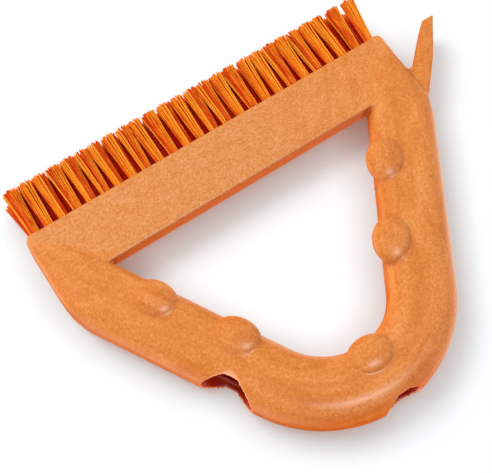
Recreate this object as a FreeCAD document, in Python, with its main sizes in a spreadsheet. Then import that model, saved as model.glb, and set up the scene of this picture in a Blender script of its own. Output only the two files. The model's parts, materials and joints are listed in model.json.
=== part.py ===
import FreeCAD, Part
import math
import os
import Sketcher

doc = FreeCAD.newDocument("grout_brush")
sizes = doc.addObject("Spreadsheet::Sheet", "sizes")

# Lengths in millimetres, angles in degrees.
DRIVING = {
    # Straight bar that carries the bristles
    "bar_length": 200.0,
    "bar_height": 31.4,
    "bar_thickness": 20.6,
    "bar_end_height": 44.0,
    "bristle_edge_round": 2.0,
    "opening_edge_round": 1.2,
    "opening_back_round": 5.0,
    "opening_draft": 12.0,
    "bar_corner_round": 4.0,
    "bar_end_round": 5.0,
    "bar_end_inset": 3.0,
    "end_bevel_angle": 20.0,
    "heel_drop": 36.0,
    "heel_turn": 15.0,
    "heel_round": 40.0,
    # Grip legs and round apex
    "leg_angle": 60.0,
    "leg_width": 31.2,
    "apex_radius": 62.0,
    "corner_thickness": 18.6,
    "shoulder_thickness": 24.0,
    "apex_thickness": 27.5,
    "shoulder_run": 96.0,
    "corner_outer_round": 6.5,
    "corner_inner_round": 5.0,
    "shoulder_outer_round": 9.0,
    "shoulder_inner_round": 7.0,
    "apex_outer_round": 12.0,
    "apex_inner_round": 9.5,
    "leg_back_round": 9.5,
    "leg_overrun": 3.0,
    "round_limit_share": 0.47,
    "trim_margin": 60.0,
    # Oval knobs standing proud of the upper face
    "knob_half_length": 11.6,
    "knob_half_width": 9.2,
    "knob_half_height": 6.0,
    "knob_rise": 3.4,
    "knob_shift": 2.2,
    "apex_knob_inset": 7.2,
    "low_knob_inset": 5.15,
    "low_knob_run": 21.6,
    "high_knob_inset": 6.25,
    "high_knob_run": 62.2,
    # Hooked scraper finger
    "finger_thickness": 15.0,
    "finger_reach": 29.5,
    "finger_tip_width": 6.9,
    "finger_tip_drop": 4.4,
    "finger_notch_depth": 23.0,
    "finger_notch_width": 3.6,
    "finger_notch_round": 2.5,
    "finger_back_reach": 15.4,
    "finger_back_drop": 23.6,
    "finger_back_round": 60.0,
    "finger_root_depth": 42.5,
    "finger_root_inset": 14.0,
    "finger_edge_round": 1.2,
    # Blind round sockets for a pole
    "pole_socket_radius": 12.1,
    "pole_socket_depth": 26.0,
    "pole_socket_run": 16.0,
    "pole_socket_lean": 8.0,
    "apex_socket_radius": 9.2,
    "apex_socket_depth": 25.0,
    "apex_socket_shift": 3.0,
    "socket_mouth_margin": 12.0,
    # Bristle tufts, their holes and anchor plates
    "row_end_margin": 6.25,
    "tuft_row_gap": 5.6,
    "tuft_hole_radius": 2.6,
    "tuft_hole_depth": 12.0,
    "tuft_clearance": 0.08,
    "tuft_length": 24.8,
    "tuft_tip_radius": 3.85,
    "tuft_splay": 1.4,
    "anchor_thickness": 0.5,
    "anchor_height": 2.0,
    "anchor_lift": 1.2,
    "anchor_end_gap": 0.05,
    "anchor_side_gap": 0.05,
    "slot_length_share": 3.0,
}
TUFT_COUNT = 26
TUFT_SIDES = 8

for row, (name, number) in enumerate(DRIVING.items(), start=1):
    sizes.set(f"A{row}", name)
    sizes.set(f"B{row}", str(number))
    sizes.setAlias(f"B{row}", name)
doc.recompute()


def of(name):
    return f"sizes.{name}"


# Worked out from the driving sizes: the centre of the apex arcs lies loop_depth below the bristle face.
half_length = f"({of('bar_length')} / 2)"
leg_sin = f"sin({of('leg_angle')})"
leg_cos = f"cos({of('leg_angle')})"
loop_depth = f"({of('bar_end_height')} + ({half_length} * {leg_sin} - {of('apex_radius')}) / {leg_cos})"
inner_radius = f"({of('apex_radius')} - {of('leg_width')})"
corner_run = f"({half_length} * {leg_cos} + {loop_depth} * {leg_sin} + {of('leg_overrun')})"


def evaluate(expression):
    result = sizes.evalExpression(expression)
    return float(getattr(result, "Value", result))


def bind(target, links):
    for prop, expression in links.items():
        target.setExpression(prop, expression)


def plane(body, role):
    return next(item for item in body.Origin.OriginFeatures if item.Role == role)


def new_sketch(body, name, role, base=("0", "0", "0"), axis=None, angle="0"):
    sketch = body.newObject("Sketcher::SketchObject", name)
    sketch.AttachmentSupport = [(plane(body, role), "")]
    sketch.MapMode = "FlatFace"
    if axis is not None:
        turn = FreeCAD.Rotation(axis, evaluate(angle))
        sketch.AttachmentOffset = FreeCAD.Placement(FreeCAD.Vector(), turn)
        bind(sketch, {"AttachmentOffset.Rotation.Angle": angle})
    for letter, expression in zip("xyz", base):
        if expression != "0":
            bind(sketch, {f"AttachmentOffset.Base.{letter}": expression})
    return sketch


def dimension(sketch, kind, references, name, expression):
    number = evaluate(expression)
    index = sketch.addConstraint(Sketcher.Constraint(kind, *references, number))
    sketch.renameConstraint(index, name)
    bind(sketch, {f"Constraints.{name}": expression})


def rounded_section(sketch, near, far, thickness, near_round, back_round, far_round):
    """Rounded rectangle from near to far along x; the near wall turns by back_round into the lower face."""
    limit = f"{thickness} * {of('round_limit_share')}"
    near_limited = f"min({near_round}; {limit})"
    back_limited = f"min({back_round}; {limit})"
    far_limited = f"min({far_round}; {limit})"
    low = evaluate(near)
    high = evaluate(far)
    top = evaluate(thickness) / 2
    small = evaluate(near_limited)
    under = evaluate(back_limited)
    large = evaluate(far_limited)
    quarter = math.pi / 2

    def point(x, y):
        return FreeCAD.Vector(x, y, 0)

    def line(start, end):
        sketch.addGeometry(Part.LineSegment(point(*start), point(*end)))

    def arc(centre, radius, start):
        circle = Part.Circle(point(*centre), FreeCAD.Vector(0, 0, 1), radius)
        sketch.addGeometry(Part.ArcOfCircle(circle, start * quarter, (start + 1) * quarter))

    line((low + small, top), (high - large, top))
    arc((high - large, top - large), large, 0)
    line((high, top - large), (high, large - top))
    arc((high - large, large - top), large, 3)
    line((high - large, -top), (low + under, -top))
    arc((low + under, under - top), under, 2)
    line((low, under - top), (low, top - small))
    arc((low + small, top - small), small, 1)
    for straight in (0, 2, 4, 6):
        bend = straight + 1
        following = (straight + 2) % 8
        sketch.addConstraint(Sketcher.Constraint("Tangent", straight, 2, bend, 2))
        sketch.addConstraint(Sketcher.Constraint("Tangent", bend, 1, following, 1))
    for level in (0, 4):
        sketch.addConstraint(Sketcher.Constraint("Horizontal", level))
    for upright in (2, 6):
        sketch.addConstraint(Sketcher.Constraint("Vertical", upright))
    sketch.addConstraint(Sketcher.Constraint("Equal", 1, 3))
    dimension(sketch, "Radius", (1,), "far_round", far_limited)
    dimension(sketch, "Radius", (5,), "back_round", back_limited)
    dimension(sketch, "Radius", (7,), "near_round", near_limited)
    dimension(sketch, "DistanceX", (-1, 1, 2, 1), "far_wall", far)
    dimension(sketch, "DistanceX", (-1, 1, 6, 1), "near_wall", near)
    dimension(sketch, "DistanceY", (-1, 1, 0, 2), "half_above", f"{thickness} / 2")
    dimension(sketch, "DistanceY", (4, 1, -1, 1), "half_below", f"{thickness} / 2")


def polygon(sketch, corners):
    """Closed outline through corners (x, y) or (x, y, round), all given as expressions."""
    spots = [FreeCAD.Vector(evaluate(corner[0]), evaluate(corner[1]), 0) for corner in corners]
    count = len(spots)
    starts = []
    ends = []
    bends = {}
    for index, corner in enumerate(corners):
        spot = spots[index]
        back = (spots[index - 1] - spot).normalize()
        ahead = (spots[(index + 1) % count] - spot).normalize()
        if len(corner) == 2:
            starts.append(spot)
            ends.append(spot)
            continue
        radius = evaluate(corner[2])
        half_angle = back.getAngle(ahead) / 2
        reach = radius / math.tan(half_angle)
        starts.append(spot + ahead * reach)
        ends.append(spot + back * reach)
        centre = spot + (back + ahead).normalize() * (radius / math.sin(half_angle))
        bends[index] = (centre, radius, ahead.cross(back).z > 0)
    for index in range(count):
        sketch.addGeometry(Part.LineSegment(starts[index], ends[(index + 1) % count]))
    for index, corner in enumerate(corners):
        marker = (index, 1)
        if index in bends:
            centre, radius, anticlockwise = bends[index]
            first = ends[index] if anticlockwise else starts[index]
            last = starts[index] if anticlockwise else ends[index]
            angles = [math.atan2(end.y - centre.y, end.x - centre.x) for end in (first, last)]
            circle = Part.Circle(centre, FreeCAD.Vector(0, 0, 1), radius)
            bend = sketch.addGeometry(Part.ArcOfCircle(circle, *angles))
            entry, leave = (1, 2) if anticlockwise else (2, 1)
            sketch.addConstraint(Sketcher.Constraint("Tangent", (index - 1) % count, 2, bend, entry))
            sketch.addConstraint(Sketcher.Constraint("Tangent", bend, leave, index, 1))
            dimension(sketch, "Radius", (bend,), f"round_{index}", corner[2])
            vertex = sketch.addGeometry(Part.Point(spots[index]), True)
            sketch.addConstraint(Sketcher.Constraint("PointOnObject", vertex, 1, index))
            sketch.addConstraint(Sketcher.Constraint("PointOnObject", vertex, 1, (index - 1) % count))
            marker = (vertex, 1)
        else:
            sketch.addConstraint(Sketcher.Constraint("Coincident", (index - 1) % count, 2, index, 1))
        for axis, kind, expression in ((-2, "DistanceX", corner[0]), (-1, "DistanceY", corner[1])):
            if expression == "0":
                sketch.addConstraint(Sketcher.Constraint("PointOnObject", *marker, axis))
            else:
                dimension(sketch, kind, (-1, 1, *marker), f"{kind}_{index}", expression)


# The loop: straight bar, two legs and round apex.
loop = doc.addObject("PartDesign::Body", "loop")

# The bar's wall towards the opening is drafted, so that the upper face overhangs it.
half_thickness = f"({of('bar_thickness')} / 2)"
draft_run = f"({of('bar_thickness')} * tan({of('opening_draft')}))"
bar_section = new_sketch(loop, "bar_section", "YZ_Plane")
polygon(
    bar_section,
    (
        (f"-{of('bar_height')}", half_thickness, of("opening_edge_round")),
        (f"{draft_run} - {of('bar_height')}", f"-{half_thickness}", of("opening_back_round")),
        ("0", f"-{half_thickness}", of("bristle_edge_round")),
        ("0", half_thickness, of("bristle_edge_round")),
    ),
)
bar = loop.newObject("PartDesign::Pad", "bar")
bar.Profile = bar_section
bar.SideType = "Symmetric"
bind(bar, {"Length": of("bar_length")})


def leg_section(name, run, thickness, outer_round, inner_round):
    base = (
        f"-({leg_cos}) * {run}",
        "0",
        f"{loop_depth} - {leg_sin} * {run}",
    )
    sketch = new_sketch(loop, name, "XZ_Plane", base, FreeCAD.Vector(0, 1, 0), f"270 - {of('leg_angle')}")
    back_round = of("leg_back_round")
    rounded_section(sketch, inner_radius, of("apex_radius"), thickness, inner_round, back_round, outer_round)
    return sketch


apex_section = leg_section(
    "apex_section", "0", of("apex_thickness"), of("apex_outer_round"), of("apex_inner_round")
)
shoulder_section = leg_section(
    "shoulder_section",
    of("shoulder_run"),
    of("shoulder_thickness"),
    of("shoulder_outer_round"),
    of("shoulder_inner_round"),
)
corner_section = leg_section(
    "corner_section", corner_run, of("corner_thickness"), of("corner_outer_round"), of("corner_inner_round")
)
doc.recompute()

left_leg = loop.newObject("PartDesign::AdditiveLoft", "left_leg")
left_leg.Profile = apex_section
left_leg.Sections = [shoulder_section, corner_section]
left_leg.Ruled = True
loop.Tip = left_leg
doc.recompute()

right_leg = loop.newObject("PartDesign::Mirrored", "right_leg")
right_leg.Originals = [left_leg]
right_leg.MirrorPlane = (plane(loop, "YZ_Plane"), [""])
loop.Tip = right_leg
doc.recompute()

apex = loop.newObject("PartDesign::Revolution", "apex")
apex.Profile = apex_section
apex.ReferenceAxis = (apex_section, ["V_Axis"])
bind(apex, {"Angle": f"2 * {of('leg_angle')}"})
loop.Tip = apex
doc.recompute()

# The legs run on past the bar; the trim cuts them off at the bar ends and the bristle face, and eases the heels.
outside = f"({half_length} + {of('trim_margin')})"


def heel_edge(drop):
    return f"({half_length} - ({drop} - {of('heel_drop')}) * tan({of('heel_turn')}))"


trim_outline = new_sketch(loop, "trim_outline", "XY_Plane")
polygon(
    trim_outline,
    (
        (f"-{heel_edge(loop_depth)}", f"-{loop_depth}"),
        (f"-{half_length}", f"-{of('heel_drop')}", of("heel_round")),
        (f"-{half_length}", "0", of("bar_corner_round")),
        (half_length, "0", of("bar_corner_round")),
        (half_length, f"-{of('heel_drop')}", of("heel_round")),
        (heel_edge(loop_depth), f"-{loop_depth}"),
        (outside, f"-{loop_depth}"),
        (outside, of("trim_margin")),
        (f"-{outside}", of("trim_margin")),
        (f"-{outside}", f"-{loop_depth}"),
    ),
)
trim = loop.newObject("PartDesign::Pocket", "trim")
trim.Profile = trim_outline
trim.Type = "ThroughAll"
trim.SideType = "Symmetric"
loop.Tip = trim
doc.recompute()

# Both bar ends are rounded over and bevelled, which also takes the thicker leg down to the end wall.
bevel_slope = f"tan({of('end_bevel_angle')})"
wall_top = f"({of('bar_thickness')} / 2 - {of('bar_end_inset')} * {bevel_slope})"
bevel_top = f"({wall_top} + {of('trim_margin')} * {bevel_slope})"
for side, sign in (("left", "-1"), ("right", "1")):
    end_outline = new_sketch(loop, f"{side}_end_outline", "XZ_Plane")
    wall = f"{sign} * {half_length}"
    inside = f"{sign} * ({half_length} - {of('trim_margin')})"
    polygon(
        end_outline,
        (
            (wall, wall_top, of("bar_end_round")),
            (wall, f"-{wall_top}", of("bar_end_round")),
            (inside, f"-{bevel_top}"),
            (f"{sign} * {outside}", f"-{bevel_top}"),
            (f"{sign} * {outside}", bevel_top),
            (inside, bevel_top),
        ),
    )
    end_round = loop.newObject("PartDesign::Pocket", f"{side}_end_round")
    end_round.Profile = end_outline
    end_round.Type = "ThroughAll"
    end_round.SideType = "Symmetric"
    loop.Tip = end_round
    doc.recompute()

# Rows of blind holes for the tufts, bored into the bristle face.
half_span = f"({half_length} - {of('row_end_margin')})"
tuft_pitch = f"(2 * {half_span} / {TUFT_COUNT - 1})"
middle_span = f"({half_span} - {tuft_pitch} / 2)"
ROWS = {
    "front": (half_span, of("tuft_row_gap"), of("tuft_splay"), TUFT_COUNT),
    "middle": (middle_span, "0", "0", TUFT_COUNT - 1),
    "back": (half_span, f"-{of('tuft_row_gap')}", f"-{of('tuft_splay')}", TUFT_COUNT),
}
for row, (span, height, splay, count) in ROWS.items():
    hole_sketch = new_sketch(loop, f"{row}_hole_circle", "XZ_Plane")
    centre = FreeCAD.Vector(-evaluate(span), evaluate(height), 0)
    radius = evaluate(of("tuft_hole_radius"))
    hole_sketch.addGeometry(Part.Circle(centre, FreeCAD.Vector(0, 0, 1), radius))
    dimension(hole_sketch, "Radius", (0,), "hole_radius", of("tuft_hole_radius"))
    dimension(hole_sketch, "DistanceX", (0, 3, -1, 1), "row_start", span)
    if height == "0":
        hole_sketch.addConstraint(Sketcher.Constraint("PointOnObject", 0, 3, -1))
    else:
        dimension(hole_sketch, "DistanceY", (-1, 1, 0, 3), "row_height", height)
    hole = loop.newObject("PartDesign::Pocket", f"{row}_hole")
    hole.Profile = hole_sketch
    hole.Reversed = True
    bind(hole, {"Length": of("tuft_hole_depth")})
    loop.Tip = hole
    doc.recompute()
    holes = loop.newObject("PartDesign::LinearPattern", f"{row}_holes")
    holes.Originals = [hole]
    holes.Direction = (hole_sketch, ["H_Axis"])
    holes.Mode = "Extent"
    holes.Occurrences = count
    bind(holes, {"Length": f"2 * {span}"})
    loop.Tip = holes
    doc.recompute()


def leg_spot(sign, radial, run):
    """Plan position on a leg: radial is measured from the apex centre square to the leg, run along it."""
    x = f"({sign}) * ({leg_sin} * {radial} + {leg_cos} * {run})"
    y = f"({leg_sin} * {run} - {leg_cos} * {radial} - {loop_depth})"
    return x, y


def leg_half_thickness(run):
    growth = f"({of('shoulder_thickness')} - {of('apex_thickness')})"
    return f"(({of('apex_thickness')} + {growth} * {run} / {of('shoulder_run')}) / 2)"


# Oval knobs: ellipsoids sunk in the upper face along the opening, the leg pairs a little to one side.
def knob_radial(inset):
    return f"({inner_radius} + {of(inset)})"


def leg_knob(sign, pair):
    run = of(f"{pair}_knob_run")
    x, y = leg_spot(sign, knob_radial(f"{pair}_knob_inset"), run)
    return f"{x} - {of('knob_shift')}", y, run, f"({sign}) * {of('leg_angle')}"


KNOBS = {
    "knob_left_high": leg_knob("-1", "high"),
    "knob_left_low": leg_knob("-1", "low"),
    "knob_apex": ("0", f"-({loop_depth} + {knob_radial('apex_knob_inset')})", "0", "0"),
    "knob_right_low": leg_knob("1", "low"),
    "knob_right_high": leg_knob("1", "high"),
}
knobs = []
for name, (x, y, run, turn) in KNOBS.items():
    knob = doc.addObject("Part::Ellipsoid", name)
    knob.Placement.Rotation = FreeCAD.Rotation(FreeCAD.Vector(0, 0, 1), evaluate(turn))
    bind(knob, {"Radius1": of("knob_half_height"), "Radius2": of("knob_half_length")})
    bind(knob, {"Radius3": of("knob_half_width"), "Placement.Rotation.Angle": turn})
    sink = f"{leg_half_thickness(run)} + {of('knob_rise')} - {of('knob_half_height')}"
    bind(knob, {"Placement.Base.x": x, "Placement.Base.y": y, "Placement.Base.z": sink})
    knobs.append(knob)

# Hooked scraper finger on the right bar end.
finger_body = doc.addObject("PartDesign::Body", "finger")
finger_outline = new_sketch(finger_body, "finger_outline", "XY_Plane")


def beyond(name):
    return f"({half_length} + {of(name)})"


root = f"({half_length} - {of('finger_root_inset')})"
tip_inner = f"({beyond('finger_reach')} - {of('finger_tip_width')})"
polygon(
    finger_outline,
    (
        (root, f"-{of('finger_root_depth')}"),
        (heel_edge(of("finger_root_depth")), f"-{of('finger_root_depth')}"),
        (beyond("finger_back_reach"), f"-{of('finger_back_drop')}", of("finger_back_round")),
        (beyond("finger_reach"), f"-{of('finger_tip_drop')}"),
        (tip_inner, f"-{of('finger_tip_drop')}"),
        (beyond("finger_notch_width"), f"-{of('finger_notch_depth')}", of("finger_notch_round")),
        (root, f"-{of('finger_notch_depth')}"),
    ),
)
finger_pad = finger_body.newObject("PartDesign::Pad", "finger_pad")
finger_pad.Profile = finger_outline
finger_pad.SideType = "Symmetric"
bind(finger_pad, {"Length": of("finger_thickness")})
finger_body.Tip = finger_pad
doc.recompute()
finger_faces = [
    f"Face{number}"
    for number, surface in enumerate(finger_pad.Shape.Faces, start=1)
    if abs(surface.normalAt(0, 0).z) > math.sqrt(0.5)
]
finger_edges = finger_body.newObject("PartDesign::Fillet", "finger_edges")
finger_edges.Base = (finger_pad, finger_faces)
bind(finger_edges, {"Radius": of("finger_edge_round")})
finger_body.Tip = finger_edges
doc.recompute()

solid_handle = doc.addObject("Part::MultiFuse", "solid_handle")
solid_handle.Shapes = [loop, finger_body, *knobs]


def socket(name, mouth, inward_angle, radius, depth):
    """Round blind bore from the wall point mouth, running inward at an angle to the bar."""
    angle = evaluate(inward_angle)
    inward = FreeCAD.Rotation(angle, 0, 0).multVec(FreeCAD.Vector(1, 0, 0))
    wall_point = FreeCAD.Vector(evaluate(mouth[0]), evaluate(mouth[1]), 0)
    bore = doc.addObject("Part::Cylinder", name)
    bind(bore, {"Radius": radius, "Height": f"{depth} + {of('socket_mouth_margin')}"})
    turn = FreeCAD.Rotation(FreeCAD.Vector(0, 0, 1), -inward)
    bore.Placement = FreeCAD.Placement(wall_point + inward * evaluate(depth), turn)
    return bore


# Two blind sockets: the wide one takes a pole through the left leg, the small one opens at the apex.
pole_mouth = leg_spot("-1", of("apex_radius"), of("pole_socket_run"))
pole_angle = f"90 - {of('leg_angle')} + {of('pole_socket_lean')}"
pole_socket = socket(
    "pole_socket", pole_mouth, pole_angle, of("pole_socket_radius"), of("pole_socket_depth")
)
apex_mouth = (
    of("apex_socket_shift"),
    f"-({loop_depth} + sqrt({of('apex_radius')} ^ 2 - {of('apex_socket_shift')} ^ 2))",
)
apex_socket = socket("apex_socket", apex_mouth, "90", of("apex_socket_radius"), of("apex_socket_depth"))
sockets = doc.addObject("Part::MultiFuse", "sockets")
sockets.Shapes = [pole_socket, apex_socket]

# The frame's origin lies under the middle of the whole brush.
origin = {
    "x": f"-{of('finger_reach')} / 2",
    "y": f"({loop_depth} + {of('apex_radius')} - {of('tuft_length')}) / 2",
    "z": leg_half_thickness("0"),
}


def put(target, along_bar="0"):
    bind(target, {"Placement.Base.x": f"{origin['x']} + {along_bar}"})
    bind(target, {f"Placement.Base.{letter}": origin[letter] for letter in "yz"})


handle_body = doc.addObject("Part::Cut", "handle_body")
handle_body.Base = solid_handle
handle_body.Tool = sockets
put(handle_body)
nodes = [handle_body]

# Tufts: each row has one pattern tuft with its anchor plate, repeated along the bar.
flat_turn = FreeCAD.Rotation(FreeCAD.Vector(1, 0, 0), -90)
facet_turn = FreeCAD.Rotation(FreeCAD.Vector(0, 0, 1), 180 / TUFT_SIDES)
root_radius = f"({of('tuft_hole_radius')} - {of('tuft_clearance')})"
anchor_floor = f"({of('anchor_lift')} - {of('tuft_hole_depth')})"


def plate(name, row_height, length, gap):
    """Flat plate across a hole, grown all round by gap."""
    box = doc.addObject("Part::Box", name)
    bind(box, {"Length": length, "Width": f"{of('anchor_height')} + 2 * {gap}"})
    bind(box, {"Height": f"{of('anchor_thickness')} + 2 * {gap}"})
    bind(box, {"Placement.Base.x": f"-({length}) / 2", "Placement.Base.y": f"{anchor_floor} - {gap}"})
    bind(box, {"Placement.Base.z": f"{row_height} - {of('anchor_thickness')} / 2 - {gap}"})
    return box


def repeat(pattern, name, along_bar):
    copy = doc.addObject("Part::Compound", name)
    copy.Links = [pattern]
    bind(copy, {"Placement.Base.x": along_bar})
    return copy


for row, (span, height, splay, count) in ROWS.items():
    rings = []
    for place, level, lift, radius in (
        ("root", f"{of('tuft_clearance')} - {of('tuft_hole_depth')}", height, root_radius),
        ("mouth", "0", height, root_radius),
        ("tip", of("tuft_length"), f"{height} + {splay}", of("tuft_tip_radius")),
    ):
        ring = doc.addObject("Part::RegularPolygon", f"{row}_{place}_ring")
        ring.Polygon = TUFT_SIDES
        ring.Placement = FreeCAD.Placement(FreeCAD.Vector(), flat_turn * facet_turn)
        bind(ring, {"Circumradius": radius, "Placement.Base.y": level, "Placement.Base.z": lift})
        rings.append(ring)
    bundle = doc.addObject("Part::Loft", f"{row}_bundle")
    bundle.Sections = rings
    bundle.Solid = True
    bundle.Ruled = True
    slot = plate(f"{row}_slot", height, f"{of('slot_length_share')} * {of('tuft_hole_radius')}", of("anchor_side_gap"))
    tuft = doc.addObject("Part::Cut", f"{row}_tuft")
    tuft.Base = bundle
    tuft.Tool = slot
    anchor = plate(
        f"{row}_anchor", height, f"2 * ({of('tuft_hole_radius')} - {of('anchor_end_gap')})", "0"
    )
    tufts = []
    anchors = []
    for number in range(count):
        along_bar = f"{tuft_pitch} * {number} - {span}"
        if row == "middle":
            tufts.append(repeat(tuft, f"{row}_tuft_{number + 1:02d}", along_bar))
        else:
            single = repeat(tuft, f"tuft_{row}_{number + 1:02d}", along_bar)
            put(single, along_bar)
            nodes.append(single)
        anchors.append(repeat(anchor, f"{row}_anchor_{number + 1:02d}", along_bar))
    if tufts:
        row_of_tufts = doc.addObject("Part::Compound", f"tufts_{row}")
        row_of_tufts.Links = tufts
        put(row_of_tufts)
        nodes.append(row_of_tufts)
    row_of_anchors = doc.addObject("Part::Compound", f"tuft_anchors_{row}")
    row_of_anchors.Links = anchors
    put(row_of_anchors)
    nodes.append(row_of_anchors)
doc.recompute()

# Every object must have built, and every node must be a valid shape, before it is written out.
for item in doc.Objects:
    if "Invalid" in item.State or "Error" in item.State:
        raise RuntimeError(f"{item.Name} did not build: {item.State}")
os.makedirs("parts", exist_ok=True)
for node in nodes:
    shape = node.Shape
    if shape.isNull() or not shape.isValid() or not shape.Solids:
        raise RuntimeError(f"{node.Label} is not a valid solid")
    shape.exportStep(f"parts/{node.Label}.step")
    print(node.Label, len(shape.Solids), round(shape.Volume, 3))
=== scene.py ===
import bpy
import json
import math
import random
from mathutils import Matrix, Vector


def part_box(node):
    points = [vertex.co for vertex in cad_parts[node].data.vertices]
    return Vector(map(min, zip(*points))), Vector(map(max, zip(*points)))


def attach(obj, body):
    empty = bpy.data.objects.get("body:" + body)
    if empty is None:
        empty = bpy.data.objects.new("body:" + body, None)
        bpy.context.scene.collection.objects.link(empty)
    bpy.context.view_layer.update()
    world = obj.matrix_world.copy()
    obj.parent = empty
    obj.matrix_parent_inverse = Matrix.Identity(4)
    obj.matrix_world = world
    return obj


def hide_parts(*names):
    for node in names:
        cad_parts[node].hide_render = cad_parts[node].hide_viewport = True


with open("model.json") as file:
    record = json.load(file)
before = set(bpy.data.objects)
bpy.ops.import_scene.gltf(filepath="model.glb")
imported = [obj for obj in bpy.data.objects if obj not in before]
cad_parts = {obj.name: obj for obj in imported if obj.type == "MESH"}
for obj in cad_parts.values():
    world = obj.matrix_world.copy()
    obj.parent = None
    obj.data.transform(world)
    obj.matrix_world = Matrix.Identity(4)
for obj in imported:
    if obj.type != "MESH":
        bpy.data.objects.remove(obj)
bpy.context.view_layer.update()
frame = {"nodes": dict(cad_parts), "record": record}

# Handle: one moulding of foamed polypropylene, shot in one piece with its knobs and scraper finger.
# The shape is the CAD solid's; a fine skin is drawn over it and relaxed, because a foamed
# moulding leaves no sharp creases where knobs, legs and socket mouths meet.
mm = 0.001
merge_distance = 0.005 * mm
skin_cell = 0.7 * mm
skin_rounds = 2
relax_share = 0.5
skin_kept_share = 0.45

cad_handle = frame["nodes"]["handle_body"]
handle = bpy.data.objects.new("handle_moulding", cad_handle.data.copy())
bpy.context.scene.collection.objects.link(handle)
bpy.ops.object.select_all(action="DESELECT")
handle.select_set(True)
bpy.context.view_layer.objects.active = handle
bpy.ops.object.mode_set(mode="EDIT")
bpy.ops.mesh.select_all(action="SELECT")
bpy.ops.mesh.remove_doubles(threshold=merge_distance)
bpy.ops.object.mode_set(mode="OBJECT")
skin = handle.modifiers.new("skin", "REMESH")
skin.mode = "VOXEL"
skin.voxel_size = skin_cell
bpy.ops.object.modifier_apply(modifier="skin")
relax = handle.modifiers.new("relax", "SMOOTH")
relax.factor = relax_share
relax.iterations = skin_rounds
bpy.ops.object.modifier_apply(modifier="relax")

# The lips of the sockets run out thin over the round of the leg. They are relaxed further, to one
# clean edge.
lip_rounds = 16
lip_inside = 1.0 * mm
lip_outside = 1.1 * mm
lip_floor_gap = 3.0 * mm
lips = handle.vertex_groups.new(name="socket_lips")
for mount in frame["record"]["mounts"]:
    axis = Vector(mount["axis"])
    wall = mount["dims"]["r_mm"] * mm
    floor_run = mount["dims"]["length_mm"] / 2 * mm
    near_lip = []
    for vertex in handle.data.vertices:
        arm = vertex.co - Vector(mount["pos_m"])
        run = arm.dot(axis)
        radius = (arm - run * axis).length
        if wall - lip_inside < radius < wall + lip_outside and run > lip_floor_gap - floor_run:
            near_lip.append(vertex.index)
    lips.add(near_lip, 1.0, "REPLACE")
ease = handle.modifiers.new("ease", "SMOOTH")
ease.factor = relax_share
ease.iterations = lip_rounds
ease.vertex_group = lips.name
bpy.ops.object.modifier_apply(modifier="ease")
handle.vertex_groups.clear()
thin = handle.modifiers.new("thin", "DECIMATE")
thin.ratio = skin_kept_share
bpy.ops.object.modifier_apply(modifier="thin")
bpy.ops.object.shade_smooth()


def linear(hex_text):
    """Linear colour from an sRGB hex value."""
    parts = [int(hex_text[i:i + 2], 16) / 255 for i in (1, 3, 5)]
    return [p / 12.92 if p <= 0.04045 else ((p + 0.055) / 1.055) ** 2.4 for p in parts] + [1.0]


def add_node(tree, kind, inputs=None, **settings):
    """New node with its settings; an input given as a socket is linked, any other is set.

    The two sides of a Mix node are inputs 2 and 3 for numbers, and 6 and 7 for colours.
    """
    made = tree.nodes.new(kind)
    for name, value in settings.items():
        setattr(made, name, value)
    for name, value in (inputs or {}).items():
        if isinstance(value, bpy.types.NodeSocket):
            tree.links.new(value, made.inputs[name])
        else:
            made.inputs[name].default_value = value
    return made


# Foamed polypropylene, moulded: a satin skin with fine speckle from the gas bubbles and pale flow streaks.
foam = bpy.data.materials.new("foamed_polypropylene")
foam.use_nodes = True
tree = foam.node_tree
tree.nodes.clear()
place = add_node(tree, "ShaderNodeTexCoord").outputs["Object"]
speckle_size = 1.2 * mm
cloud_size = 4.0 * mm
cloud_share = 0.35
speckle = add_node(
    tree, "ShaderNodeTexNoise",
    {"Vector": place, "Scale": 1 / speckle_size, "Detail": 2.0, "Roughness": 0.7},
)
cloud = add_node(
    tree, "ShaderNodeTexNoise",
    {"Vector": place, "Scale": 1 / cloud_size, "Detail": 4.0, "Roughness": 0.6, "Distortion": 1.2},
)
fine = add_node(
    tree, "ShaderNodeMix",
    {0: cloud_share, 2: speckle.outputs["Fac"], 3: cloud.outputs["Fac"]}, data_type="FLOAT",
).outputs[0]

# The melt ran through the legs into the bar, and its streaks follow the loop: an arc round the apex, and on
# from its ends straight up both legs.
bar_half_length = 100.0 * mm
apex_half_thickness = 13.75 * mm
handle_low, handle_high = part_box("handle_body")
bar_middle = Vector((handle_low[0] + bar_half_length, handle_high[1], handle_low[2] + apex_half_thickness))
leg_angle = math.radians(60)
apex_depth = 93.2 * mm
apex_mean_radius = 46.4 * mm
streak_size = 8.0 * mm
streak_stretch = 0.2
from_bar = add_node(
    tree, "ShaderNodeVectorMath", {0: place, 1: bar_middle}, operation="SUBTRACT"
).outputs["Vector"]
offset = add_node(tree, "ShaderNodeSeparateXYZ", {"Vector": from_bar}).outputs
sideways = add_node(tree, "ShaderNodeMath", {0: offset["X"]}, operation="ABSOLUTE").outputs[0]
from_apex = add_node(
    tree, "ShaderNodeVectorMath", {0: from_bar, 1: (0, apex_depth, 0)}, operation="ADD"
).outputs["Vector"]
upward = add_node(tree, "ShaderNodeSeparateXYZ", {"Vector": from_apex}).outputs["Y"]
downward = add_node(tree, "ShaderNodeMath", {0: upward, 1: -1.0}, operation="MULTIPLY").outputs[0]
leg_sine = math.sin(leg_angle)
leg_cosine = math.cos(leg_angle)
leg_parts = []
for down_share, side_share in ((-leg_sine, leg_cosine), (leg_cosine, leg_sine)):
    down_part = add_node(
        tree, "ShaderNodeMath", {0: downward, 1: down_share}, operation="MULTIPLY"
    ).outputs[0]
    leg_part = add_node(
        tree, "ShaderNodeMath", {0: sideways, 1: side_share, 2: down_part}, operation="MULTIPLY_ADD"
    ).outputs[0]
    leg_parts.append(leg_part)
leg_run, leg_out = leg_parts
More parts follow.
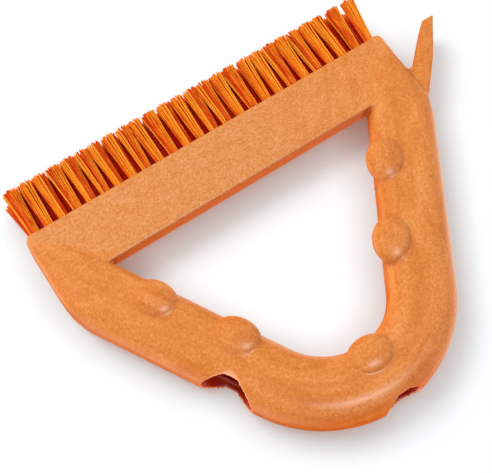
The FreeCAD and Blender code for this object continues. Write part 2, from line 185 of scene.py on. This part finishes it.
on_leg = add_node(tree, "ShaderNodeMath", {0: leg_run, 1: 0.0}, operation="GREATER_THAN").outputs[0]
leg_run = add_node(
    tree, "ShaderNodeMath", {0: leg_run, 1: leg_angle * apex_mean_radius}, operation="ADD"
).outputs[0]
flat_spot = add_node(tree, "ShaderNodeCombineXYZ", {"X": sideways, "Y": downward}).outputs["Vector"]
arc_out = add_node(tree, "ShaderNodeVectorMath", {0: flat_spot}, operation="LENGTH").outputs["Value"]
arc_angle = add_node(tree, "ShaderNodeMath", {0: sideways, 1: downward}, operation="ARCTAN2").outputs[0]
arc_run = add_node(
    tree, "ShaderNodeMath", {0: arc_angle, 1: apex_mean_radius}, operation="MULTIPLY"
).outputs[0]
flow_out = add_node(
    tree, "ShaderNodeMix", {0: on_leg, 2: arc_out, 3: leg_out}, data_type="FLOAT"
).outputs[0]
flow_run = add_node(
    tree, "ShaderNodeMix", {0: on_leg, 2: arc_run, 3: leg_run}, data_type="FLOAT"
).outputs[0]
side = add_node(tree, "ShaderNodeMath", {0: offset["X"]}, operation="SIGN").outputs[0]
for factor in (side, streak_stretch):
    flow_run = add_node(
        tree, "ShaderNodeMath", {0: flow_run, 1: factor}, operation="MULTIPLY"
    ).outputs[0]
flow = add_node(
    tree, "ShaderNodeCombineXYZ", {"X": flow_run, "Y": flow_out, "Z": offset["Z"]}
).outputs["Vector"]
streak = add_node(
    tree, "ShaderNodeTexNoise",
    {"Vector": flow, "Scale": 1 / streak_size, "Detail": 4.0, "Roughness": 0.6, "Distortion": 0.8},
)

# Legs and apex are a deeper orange with strong streaks, the bar has plain grain; the bar's paler tone is
# partly painted sheen for the light its flat face catches. The border runs slantwise from the bar's corners
# to the opening's corners, and the bar deepens towards the finger end.
border_slope = -1.05
border_half_width = 3.0 * mm
deepening_start = 15.0 * mm
deepening_end = 80.0 * mm
deepening_share = 0.85
bar_streaks = 0.08
leg_streaks = 0.42
# The bar's paler shades are partly painted sheen.
bar_shades = ("#BE7131", "#C98044", "#D4905B")
leg_shades = ("#BD6621", "#CA7835", "#D88C4A")
border = add_node(
    tree, "ShaderNodeMath", {0: offset["Y"], 1: border_slope, 2: sideways}, operation="MULTIPLY_ADD"
).outputs[0]
in_leg = add_node(
    tree, "ShaderNodeMapRange",
    {
        "Value": border,
        "From Min": bar_half_length - border_half_width,
        "From Max": bar_half_length + border_half_width,
    },
    interpolation_type="SMOOTHSTEP",
).outputs["Result"]
far_end = add_node(
    tree, "ShaderNodeMapRange",
    {
        "Value": offset["X"],
        "From Min": deepening_start,
        "From Max": deepening_end,
        "To Min": 0.0,
        "To Max": deepening_share,
    },
    interpolation_type="SMOOTHSTEP",
).outputs["Result"]
below_bar = add_node(tree, "ShaderNodeMath", {0: in_leg, 1: far_end}, operation="MAXIMUM").outputs[0]
streak_share = add_node(
    tree, "ShaderNodeMapRange", {"Value": below_bar, "To Min": bar_streaks, "To Max": leg_streaks}
).outputs["Result"]
blend = add_node(
    tree, "ShaderNodeMix", {0: streak_share, 2: fine, 3: streak.outputs["Fac"]}, data_type="FLOAT"
).outputs[0]
shades = []
for dark, plain, pale in (bar_shades, leg_shades):
    ramp = add_node(tree, "ShaderNodeValToRGB", {"Fac": blend})
    ramp.color_ramp.elements[0].position = 0.38
    ramp.color_ramp.elements[0].color = linear(dark)
    ramp.color_ramp.elements[1].position = 0.62
    ramp.color_ramp.elements[1].color = linear(pale)
    ramp.color_ramp.elements.new(0.5).color = linear(plain)
    shades.append(ramp.outputs["Color"])
skin_tint = add_node(
    tree, "ShaderNodeMix", {"Factor": below_bar, 6: shades[0], 7: shades[1]}, data_type="RGBA"
).outputs[2]

# Painted shade and highlight: inside the sockets the wall is painted a deep red for the shade in the bores,
# and a pale painted highlight runs round their lips.
lip_highlight_full_reach = 0.6 * mm
lip_highlight_end_reach = 1.2 * mm
lip_highlight_share = 0.8
lip_highlight_run = 14.0 * mm
hollow_shade_reach = 0.3 * mm
hollow_shade_floor_reach = 2.0 * mm
for mount in frame["record"]["mounts"]:
    axis = Vector(mount["axis"])
    length = mount["dims"]["length_mm"] * mm
    wall = mount["dims"]["r_mm"] * mm
    mouth = Vector(mount["pos_m"]) + axis * length / 2
    inward = add_node(
        tree, "ShaderNodeVectorMath", {0: place, 1: mouth}, operation="SUBTRACT"
    ).outputs["Vector"]
    lengthwise = add_node(
        tree, "ShaderNodeVectorMath", {0: inward, 1: axis}, operation="PROJECT"
    ).outputs["Vector"]
    across = add_node(
        tree, "ShaderNodeVectorMath", {0: inward, 1: lengthwise}, operation="SUBTRACT"
    ).outputs["Vector"]
    radius = add_node(tree, "ShaderNodeVectorMath", {0: across}, operation="LENGTH").outputs["Value"]
    run = add_node(
        tree, "ShaderNodeVectorMath", {0: inward, 1: axis}, operation="DOT_PRODUCT"
    ).outputs["Value"]
    lip_highlight = add_node(
        tree, "ShaderNodeMapRange",
        {
            "Value": radius,
            "From Min": wall + lip_highlight_full_reach,
            "From Max": wall + lip_highlight_end_reach,
            "To Min": lip_highlight_share,
            "To Max": 0.0,
        },
    ).outputs["Result"]
    hollow_shade = add_node(
        tree, "ShaderNodeMapRange",
        {"Value": radius, "From Min": wall, "From Max": wall + hollow_shade_reach, "To Min": 1.0, "To Max": 0.0},
    ).outputs["Result"]
    # Painted highlight on the lips, painted shade deep in the bores.
    for share, deepest, colour in (
        (lip_highlight, lip_highlight_run, "#F4AC84"),
        (hollow_shade, length + hollow_shade_floor_reach, "#A81E02"),
    ):
        near_mouth = add_node(
            tree, "ShaderNodeMath", {0: run, 1: -deepest}, operation="GREATER_THAN"
        ).outputs[0]
        share = add_node(
            tree, "ShaderNodeMath", {0: share, 1: near_mouth}, operation="MULTIPLY"
        ).outputs[0]
        skin_tint = add_node(
            tree, "ShaderNodeMix", {"Factor": share, 6: skin_tint, 7: linear(colour)}, data_type="RGBA"
        ).outputs[2]

# Painted shade: creases round the knobs and at the finger, where the surface is closed in, are darkened to a
# deeper orange.
crease_shade_reach = 3.0 * mm
crease_shade_share = 0.75
openness = add_node(
    tree, "ShaderNodeAmbientOcclusion", {"Distance": crease_shade_reach}, samples=8
).outputs["AO"]
crease_shade = add_node(
    tree, "ShaderNodeMapRange",
    {"Value": openness, "From Min": 0.70, "From Max": 0.96, "To Min": crease_shade_share, "To Max": 0.0},
).outputs["Result"]
skin_tint = add_node(
    tree, "ShaderNodeMix", {"Factor": crease_shade, 6: skin_tint, 7: linear("#A8480F")}, data_type="RGBA"
).outputs[2]

# Pale marks are duller than dark ones, and the fine speckle stands out as a slight grain.
shiny = 0.28
dull = 0.42
grain_depth = 0.3 * mm
grain_strength = 0.16
roughness = add_node(
    tree, "ShaderNodeMapRange",
    {"Value": blend, "From Min": 0.35, "From Max": 0.65, "To Min": shiny, "To Max": dull},
).outputs["Result"]
skin_grain = add_node(
    tree, "ShaderNodeBump", {"Height": fine, "Strength": grain_strength, "Distance": grain_depth}
).outputs["Normal"]
surface = add_node(
    tree, "ShaderNodeBsdfPrincipled",
    {
        "Base Color": skin_tint,
        "Roughness": roughness,
        "Normal": skin_grain,
        "IOR": 1.49,
        "Specular IOR Level": 0.30,
    },
)
add_node(tree, "ShaderNodeOutputMaterial", {"Surface": surface.outputs["BSDF"]})
handle.data.materials.clear()
handle.data.materials.append(foam)
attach(handle, "root")
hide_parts("handle_body")

# Pole socket thread: a coarse round-topped ridge moulded on the wall of the wide socket, which a broom pole
# screws into. It is the same foamed plastic as the handle; one profile is swept round the socket's axis.
socket = next(mount for mount in frame["record"]["mounts"] if mount["name"] == "pole_socket")
socket_radius = socket["dims"]["r_mm"] * mm
socket_length = socket["dims"]["length_mm"] * mm
thread_pitch = 5.5 * mm
thread_height = 1.3 * mm
thread_half_width = 1.4 * mm
thread_sunk = 0.35 * mm
thread_turns = 2
thread_start = 10.0 * mm
profile_points = 10
sweep_steps = 64
seam_distance = 0.002 * mm
thread_edge_angle = math.radians(60)

bpy.ops.object.select_all(action="DESELECT")
bpy.ops.mesh.primitive_circle_add(
    vertices=profile_points, radius=1.0, fill_type="NOTHING",
    location=(socket_radius + thread_sunk, 0, thread_start), rotation=(math.pi / 2, 0, 0),
)
thread = bpy.context.object
thread.name = "pole_socket_thread"
thread.scale = (thread_height + thread_sunk, thread_half_width, 1.0)
bpy.ops.object.transform_apply(location=True, rotation=True, scale=True)
bpy.ops.object.mode_set(mode="EDIT")
bpy.ops.mesh.select_all(action="SELECT")
bpy.ops.mesh.bisect(
    plane_co=(socket_radius + thread_sunk, 0, 0), plane_no=(1, 0, 0), clear_outer=True, use_fill=False
)
bpy.ops.object.mode_set(mode="OBJECT")
sweep = thread.modifiers.new("sweep", "SCREW")
sweep.axis = "Z"
sweep.screw_offset = thread_pitch
sweep.iterations = thread_turns
sweep.steps = sweep_steps
sweep.render_steps = sweep_steps
bpy.ops.object.modifier_apply(modifier="sweep")
bpy.ops.object.mode_set(mode="EDIT")
bpy.ops.mesh.select_all(action="SELECT")
bpy.ops.mesh.remove_doubles(threshold=seam_distance)
bpy.ops.mesh.select_mode(type="EDGE")
bpy.ops.mesh.select_all(action="DESELECT")
bpy.ops.mesh.select_non_manifold()
bpy.ops.mesh.fill()
bpy.ops.mesh.select_all(action="SELECT")
bpy.ops.mesh.normals_make_consistent(inside=False)
bpy.ops.object.mode_set(mode="OBJECT")
bpy.ops.object.shade_smooth_by_angle(angle=thread_edge_angle)
outward = Vector(socket["axis"])
thread.rotation_euler = (-outward).to_track_quat("Z", "X").to_euler()
thread.location = Vector(socket["pos_m"]) + outward * socket_length / 2
bpy.ops.object.transform_apply(location=True, rotation=True, scale=True)
thread.data.materials.clear()
thread.data.materials.append(foam)
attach(thread, "root")

# Bristles: stiff polypropylene filaments, folded at the middle, pressed into round holes in the bar
# and trimmed to one level. One filament is modelled, in steps of a rise and a sideways bow in mm, then a
# bundle, then the three rows.
filament_radius = 0.34 * mm
filament_sides = 5
filament_edge_angle = math.radians(50)
filament_steps = [(9.0, 0.0), (7.0, 0.08), (6.0, 0.16), (5.8, 0.22)]
root_depth = 3.0 * mm

bpy.ops.object.select_all(action="DESELECT")
bpy.ops.mesh.primitive_circle_add(
    vertices=filament_sides, radius=filament_radius, fill_type="NGON", location=(0, 0, -root_depth)
)
filament = bpy.context.object
filament.name = "filament"
bpy.ops.object.mode_set(mode="EDIT")
bpy.ops.mesh.select_all(action="SELECT")
for rise, bow in filament_steps:
    bpy.ops.mesh.extrude_region_move(TRANSFORM_OT_translate={"value": (bow * mm, 0, rise * mm)})
bpy.ops.mesh.select_all(action="SELECT")
bpy.ops.mesh.normals_make_consistent(inside=False)
bpy.ops.object.mode_set(mode="OBJECT")
bpy.ops.object.shade_smooth_by_angle(angle=filament_edge_angle)
bpy.ops.object.transform_apply(location=True, rotation=True, scale=True)

# The bundle: filaments spread evenly over a round, opening a little to the tip, each with a tone of its own.
filament_count = 48
bundle_radius = 2.25 * mm
bundle_tip_radius = 3.25 * mm
tuft_length = 24.8 * mm
golden_angle = math.radians(137.508)
turn_spread = 0.2
lean_spread = math.radians(0.32)
cut_shortest = -0.14 * mm
cut_longest = 0.10 * mm
tone_step = 0.7549
chance = random.Random(7201)
strands = []
for number in range(filament_count):
    share = math.sqrt((number + 0.5) / filament_count)
    turn = number * golden_angle + chance.uniform(-turn_spread, turn_spread)
    lean = math.atan(share * (bundle_tip_radius - bundle_radius) / tuft_length)
    lean += chance.gauss(0, lean_spread)
    cut = chance.uniform(cut_shortest, cut_longest)
    strand = bpy.data.objects.new("strand", filament.data.copy())
    tone = strand.data.attributes.new("strand_tone", "FLOAT", "POINT")
    for point in tone.data:
        point.value = number * tone_step % 1.0
    bpy.context.scene.collection.objects.link(strand)
    strand.matrix_world = (
        Matrix.Rotation(turn, 4, "Z")
        @ Matrix.Translation((share * bundle_radius, 0, cut))
        @ Matrix.Rotation(lean, 4, "Y")
    )
    strands.append(strand)
bpy.ops.object.select_all(action="DESELECT")
for strand in strands:
    strand.select_set(True)
bpy.context.view_layer.objects.active = strands[0]
bpy.ops.object.join()
bundle = bpy.context.object
bpy.ops.object.transform_apply(location=True, rotation=True, scale=True)

# Polypropylene filament, drawn and cut: golden orange, each strand a little lighter or darker, and painted
# shade: a deep red towards the heart of the brush, where light only comes through other strands.
bristle = bpy.data.materials.new("polypropylene_filament")
bristle.use_nodes = True
tree = bristle.node_tree
tree.nodes.clear()
place = add_node(tree, "ShaderNodeTexCoord").outputs["Object"]
strand_size = 0.9 * mm
strand_stretch = 0.08
tone_share = 0.40
heart_inner = 3.8 * mm
heart_outer = 6.8 * mm
heart_shade_start = 17.0 * mm
heart_shade_end = 30.0 * mm
long_ways = add_node(
    tree, "ShaderNodeMapping", {"Vector": place, "Scale": (1.0, strand_stretch, 1.0)}
).outputs["Vector"]
streak = add_node(
    tree, "ShaderNodeTexNoise", {"Vector": long_ways, "Scale": 1 / strand_size, "Detail": 2.0}
)
strand_tone = add_node(tree, "ShaderNodeAttribute", attribute_name="strand_tone").outputs["Fac"]
tone = add_node(
    tree, "ShaderNodeMix", {0: tone_share, 2: streak.outputs["Fac"], 3: strand_tone}, data_type="FLOAT"
).outputs[0]
ramp = add_node(tree, "ShaderNodeValToRGB", {"Fac": tone})
ramp.color_ramp.elements[0].position = 0.37
ramp.color_ramp.elements[0].color = linear("#C83602")
ramp.color_ramp.elements[1].position = 0.76
ramp.color_ramp.elements[1].color = linear("#F09C2C")
ramp.color_ramp.elements.new(0.50).color = linear("#E4760C")
from_bar = add_node(
    tree, "ShaderNodeVectorMath", {0: place, 1: bar_middle}, operation="SUBTRACT"
).outputs["Vector"]
offset = add_node(tree, "ShaderNodeSeparateXYZ", {"Vector": from_bar}).outputs
off_middle = add_node(tree, "ShaderNodeMath", {0: offset["Z"]}, operation="ABSOLUTE").outputs[0]
# Painted shade: deep red in the heart of the brush, low down between the rows.
heart = add_node(
    tree, "ShaderNodeMapRange",
    {"Value": off_middle, "From Min": heart_inner, "From Max": heart_outer, "To Min": 1.0, "To Max": 0.0},
    interpolation_type="SMOOTHSTEP",
).outputs["Result"]
depth = add_node(
    tree, "ShaderNodeMapRange",
    {"Value": offset["Y"], "From Min": heart_shade_start, "From Max": heart_shade_end, "To Min": 1.0, "To Max": 0.0},
    interpolation_type="SMOOTHSTEP",
).outputs["Result"]
heart_shade = add_node(tree, "ShaderNodeMath", {0: heart, 1: depth}, operation="MULTIPLY").outputs[0]
tint = add_node(
    tree, "ShaderNodeMix",
    {"Factor": heart_shade, 6: ramp.outputs["Color"], 7: linear("#C41800")}, data_type="RGBA",
).outputs[2]
surface = add_node(
    tree, "ShaderNodeBsdfPrincipled",
    {"Base Color": tint, "Roughness": 0.40, "IOR": 1.49, "Specular IOR Level": 0.18},
)
add_node(tree, "ShaderNodeOutputMaterial", {"Surface": surface.outputs["BSDF"]})
bundle.data.materials.clear()
bundle.data.materials.append(bristle)

# The rows: the outer two lean out a little, and some end tufts are splayed by use. Their leans are in
# degrees.
tuft_pitch = 7.5 * mm
row_gap = 5.6 * mm
row_splay = math.radians(3.0)
tuft_lean_spread = math.radians(1.2)
tuft_splay_spread = math.radians(0.6)
end_lean = {
    ("front", 25): 3.0,
    ("front", 26): 8.0,
    ("back", 1): -6.0,
    ("back", 2): -2.0,
    ("back", 26): 5.0,
}
rows = {"front": (26, row_gap, row_splay), "middle": (25, 0.0, 0.0), "back": (26, -row_gap, -row_splay)}
outer_tufts = []
middle_tufts = []
for row, (count, height, splay) in rows.items():
    for number in range(1, count + 1):
        along = (number - (count + 1) / 2) * tuft_pitch
        lean = math.radians(end_lean.get((row, number), 0.0)) + chance.gauss(0, tuft_lean_spread)
        tuft_splay = splay + chance.gauss(0, tuft_splay_spread)
        spin = chance.uniform(0, math.tau)
        tuft = bpy.data.objects.new(f"tuft_{row}_{number:02d}_filaments", bundle.data.copy())
        bpy.context.scene.collection.objects.link(tuft)
        tuft.matrix_world = (
            Matrix.Translation(bar_middle + Vector((along, 0, height)))
            @ Matrix.Rotation(-lean, 4, "Z")
            @ Matrix.Rotation(tuft_splay - math.pi / 2, 4, "X")
            @ Matrix.Rotation(spin, 4, "Z")
        )
        if row == "middle":
            middle_tufts.append(tuft)
        else:
            outer_tufts.append(tuft)
bpy.ops.object.select_all(action="DESELECT")
for tuft in outer_tufts + middle_tufts:
    tuft.select_set(True)
bpy.context.view_layer.objects.active = middle_tufts[0]
bpy.ops.object.transform_apply(location=True, rotation=True, scale=True)
for tuft in outer_tufts:
    tuft.select_set(False)
bpy.ops.object.join()
middle_row = bpy.context.object
middle_row.name = "tufts_middle_filaments"
for tuft in outer_tufts + [middle_row]:
    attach(tuft, "root")
    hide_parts(tuft.name.removesuffix("_filaments"))
bpy.data.objects.remove(bundle)
bpy.data.objects.remove(filament)

# Anchors: flat strips of galvanised steel wire that pinch each folded tuft at the bottom of its hole.
# They stay hidden in the bar; the CAD plates are kept and given their metal.
spangle_size = 1.2 * mm
zinc = bpy.data.materials.new("galvanised_steel")
zinc.use_nodes = True
tree = zinc.node_tree
tree.nodes.clear()
place = add_node(tree, "ShaderNodeTexCoord").outputs["Object"]
spangle = add_node(tree, "ShaderNodeTexVoronoi", {"Vector": place, "Scale": 1 / spangle_size})
ramp = add_node(tree, "ShaderNodeValToRGB", {"Fac": spangle.outputs["Distance"]})
ramp.color_ramp.elements[0].color = linear("#8E9294")
ramp.color_ramp.elements[1].color = linear("#C3C7C9")
surface = add_node(
    tree, "ShaderNodeBsdfPrincipled",
    {"Base Color": ramp.outputs["Color"], "Metallic": 1.0, "Roughness": 0.42},
)
add_node(tree, "ShaderNodeOutputMaterial", {"Surface": surface.outputs["BSDF"]})
for name in ("tuft_anchors_front", "tuft_anchors_middle", "tuft_anchors_back"):
    plates = frame["nodes"][name]
    plates.data.materials.clear()
    plates.data.materials.append(zinc)

# Studio: a plain white sheet under the brush, half of it an even white glow with painted shadow where the
# brush comes near, soft lamps and a camera above the handle.
floor_size = 40.0
painted_shadow_reach = 20.0 * mm
glow_share = 0.5
bpy.ops.object.select_all(action="DESELECT")
bpy.ops.mesh.primitive_plane_add(size=floor_size, location=(0, 0, 0))
floor = bpy.context.object
floor.name = "floor"
paper = bpy.data.materials.new("white_paper")
paper.use_nodes = True
tree = paper.node_tree
tree.nodes.clear()
matt = add_node(tree, "ShaderNodeBsdfDiffuse", {"Color": linear("#E6F1F4")})
# Painted shadow: the sheet's glow is dimmed where the brush is near it.
painted_shadow = add_node(tree, "ShaderNodeAmbientOcclusion", {"Color": (1, 1, 1, 1), "Distance": painted_shadow_reach})
sheet_glow = add_node(tree, "ShaderNodeEmission", {"Color": painted_shadow.outputs["Color"], "Strength": 1.0})
sheet = add_node(
    tree, "ShaderNodeMixShader", {0: glow_share, 1: matt.outputs["BSDF"], 2: sheet_glow.outputs["Emission"]}
)
add_node(tree, "ShaderNodeOutputMaterial", {"Surface": sheet.outputs["Shader"]})
floor.data.materials.append(paper)
floor.visible_diffuse = False
floor.visible_glossy = False
floor.visible_shadow = False

# Room light: white above, brightest from over the apex and the finger side. Below the horizon it stands for
# light thrown back from the floor and the orange walls: warm along the way the bar faces, pale to both sides.
bright_side = Vector((0.38, -0.55, 0.74)).normalized()
room_dimmest = 0.40
room_brightest = 0.86
below_strength = 2.1
world = bpy.data.worlds.new("studio")
bpy.context.scene.world = world
world.use_nodes = True
tree = world.node_tree
tree.nodes.clear()
look = add_node(tree, "ShaderNodeTexCoord").outputs["Generated"]
look_parts = add_node(tree, "ShaderNodeSeparateXYZ", {"Vector": look}).outputs
facing = add_node(
    tree, "ShaderNodeVectorMath", {0: look, 1: bright_side}, operation="DOT_PRODUCT"
).outputs["Value"]
room = add_node(
    tree, "ShaderNodeMapRange",
    {"Value": facing, "From Min": -0.35, "From Max": 1.0, "To Min": room_dimmest, "To Max": room_brightest},
).outputs["Result"]
above = add_node(
    tree, "ShaderNodeMapRange", {"Value": look_parts["Z"], "From Min": -0.06, "From Max": -0.03},
    interpolation_type="SMOOTHSTEP",
).outputs["Result"]
strength = add_node(
    tree, "ShaderNodeMix", {0: above, 2: below_strength, 3: room}, data_type="FLOAT"
).outputs[0]
level = add_node(
    tree, "ShaderNodeMapRange", {"Value": look_parts["Z"], "From Min": -1.0, "From Max": 1.0}
).outputs["Result"]
hue = add_node(tree, "ShaderNodeValToRGB", {"Fac": level})
hue.color_ramp.elements[0].position = 0.06
hue.color_ramp.elements[0].color = linear("#7A2A0C")
hue.color_ramp.elements[1].position = 0.49
hue.color_ramp.elements[1].color = linear("#FFA868")
hue.color_ramp.elements.new(0.24).color = linear("#FF8C44")
beside = add_node(tree, "ShaderNodeMath", {0: look_parts["X"]}, operation="ABSOLUTE").outputs[0]
pale_share = add_node(
    tree, "ShaderNodeMapRange", {"Value": beside, "From Min": 0.25, "From Max": 0.75},
    interpolation_type="SMOOTHSTEP",
).outputs["Result"]
thrown_back = add_node(
    tree, "ShaderNodeMix",
    {"Factor": pale_share, 6: hue.outputs["Color"], 7: linear("#FFE6D2")}, data_type="RGBA",
).outputs[2]
colour = add_node(
    tree, "ShaderNodeMix", {"Factor": above, 6: thrown_back, 7: linear("#FFFFFF")}, data_type="RGBA"
).outputs[2]
glow = add_node(tree, "ShaderNodeBackground", {"Color": colour, "Strength": strength})
add_node(tree, "ShaderNodeOutputWorld", {"Surface": glow.outputs["Background"]})

# Lamps: a soft one behind the bar throws the shadow towards the apex, a small one above the apex gives the
# knobs their gloss.
gloss_place = Vector((0.02, -0.67, 0.99))
bpy.ops.object.light_add(type="AREA", location=gloss_place)
gloss_lamp = bpy.context.object
gloss_lamp.name = "gloss_lamp"
gloss_lamp.data.shape = "RECTANGLE"
gloss_lamp.data.size = 0.5
gloss_lamp.data.size_y = 0.25
gloss_lamp.data.energy = 11.0
gloss_lamp.visible_diffuse = False
gloss_lamp.rotation_euler = (-gloss_place).to_track_quat("-Z", "Y").to_euler()
key_place = Vector((-0.84, 1.28, 2.0))
bpy.ops.object.light_add(type="AREA", location=key_place)
key_lamp = bpy.context.object
key_lamp.name = "key_lamp"
key_lamp.data.shape = "DISK"
key_lamp.data.size = 1.8
key_lamp.data.energy = 58.0
key_lamp.visible_glossy = False
key_lamp.rotation_euler = (-key_place).to_track_quat("-Z", "Y").to_euler()

# Camera: high above, beyond the apex and to the left, turned so that the bar rises to the right. Its focal
# length is given in pixels of the picture.
picture_width = 492
focal_pixels = 1095.5
sensor_width = 36.0
camera_offset = Vector((-116.92, -209.73, 471.24)) * mm
right = Vector((0.83720, -0.54689, 0.00172))
up = Vector((0.50678, 0.77693, 0.37358))
back = right.cross(up)
camera_place = bar_middle + camera_offset
camera_data = bpy.data.cameras.new("camera")
camera_data.sensor_width = sensor_width
camera_data.lens = sensor_width * focal_pixels / picture_width
camera = bpy.data.objects.new("camera", camera_data)
bpy.context.scene.collection.objects.link(camera)
camera.matrix_world = Matrix((
    (right.x, up.x, back.x, camera_place.x),
    (right.y, up.y, back.y, camera_place.y),
    (right.z, up.z, back.z, camera_place.z),
    (0, 0, 0, 1),
))
bpy.context.scene.camera = camera
bpy.context.scene.view_settings.view_transform = "Standard"
